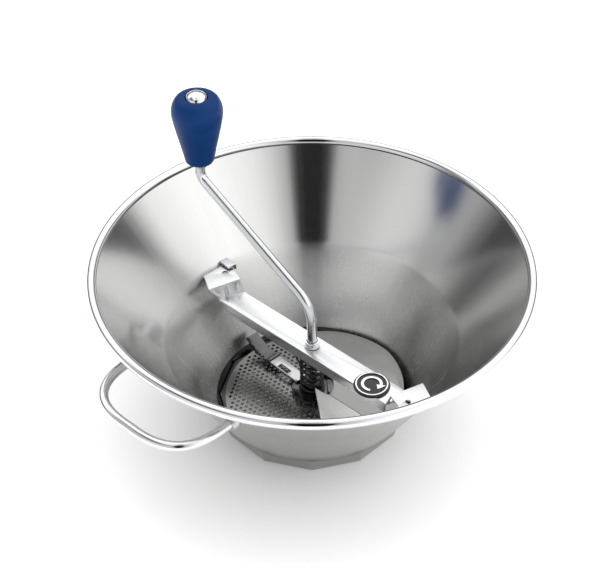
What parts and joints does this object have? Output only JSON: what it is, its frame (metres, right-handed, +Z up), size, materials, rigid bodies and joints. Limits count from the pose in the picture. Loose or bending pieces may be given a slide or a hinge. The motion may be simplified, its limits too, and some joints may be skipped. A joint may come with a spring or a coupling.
{
  "type": "rotary food mill",
  "caption": "Hand-cranked stainless steel food mill: conical bowl with loop handle, perforated grid, locked crossbar and sprung rotor with press plate.",
  "frame": {"origin": "on the crank shaft's axis, level with the underside of the bowl's seat (the shaft's foot is 1 mm above it)", "axes": "+Z up along the shaft, +X along the crossbar towards the badge, the loop handle points to -Y"},
  "size_m": [0.3098, 0.3306, 0.231],
  "materials": {
    "satin": "spun and satin brushed stainless sheet",
    "welded": "satin stainless, spot welded",
    "grid": "perforated stainless sheet",
    "rotor": "pressed stainless, lightly brushed",
    "rod": "polished stainless bar",
    "rivet": "polished rivet heads",
    "spring": "spring steel wire and washers",
    "grip": "moulded blue plastic, semi gloss",
    "badge": "black enamelled disc",
    "mark": "bright inlay"
  },
  "bodies": {
    "bowl": {"bowl": "satin", "loop_handle": "rod", "handle_weld_left": "welded", "handle_weld_right": "welded", "rest_lug_left": "welded", "rest_lug_right": "welded", "bar_lug_left": "welded", "bar_lug_right": "welded", "grid_disc": "grid", "grid_bush": "rod"},
    "crossbar": {"crossbar": "satin", "shaft_bush": "rod", "badge_disc": "badge", "badge_ring": "mark", "badge_arrow": "mark", "spring_cup": "spring"},
    "spring_carrier": {"spring_seat": "spring", "shaft_spring": "spring"},
    "rotor": {"crank_rod": "rod", "rotor_hub": "rotor", "press_plate": "rotor", "plate_bracket": "rotor", "plate_rivet_1": "rivet", "plate_rivet_2": "rivet", "scraper_arm": "rotor", "scraper_pin": "rod", "knob_collar": "rod", "knob_cap": "rod"},
    "scraper": {"scraper_blade": "rotor"},
    "knob": {"knob_grip": "grip"}
  },
  "joints": [
    {"name": "crossbar_unlock", "type": "hinge", "parent": "bowl", "child": "crossbar", "pos_m": [0, 0, 0.05], "axis": [0, 0, 1], "range_deg": [0, 40]},
    {"name": "rotor_lift", "type": "slide", "parent": "crossbar", "child": "spring_carrier", "axis": [0, 0, 1], "range_m": [0, 0.005], "stiffness_N_per_m": 1500, "springref_m": -0.004, "deforming": ["shaft_spring"]},
    {"name": "crank_spin", "type": "hinge", "parent": "spring_carrier", "child": "rotor", "pos_m": [0, 0, 0.03], "axis": [0, 0, 1], "continuous": true},
    {"name": "scraper_hinge", "type": "hinge", "parent": "rotor", "child": "scraper", "pos_m": [-0.0429, 0.003, 0.01675], "axis": [0.0698, 0.9976, 0], "range_deg": [0, 18]},
    {"name": "knob_spin", "type": "hinge", "parent": "rotor", "child": "knob", "pos_m": [-0.1032, -0.00451, 0.19], "axis": [0, 0, 1], "continuous": true}
  ]
}
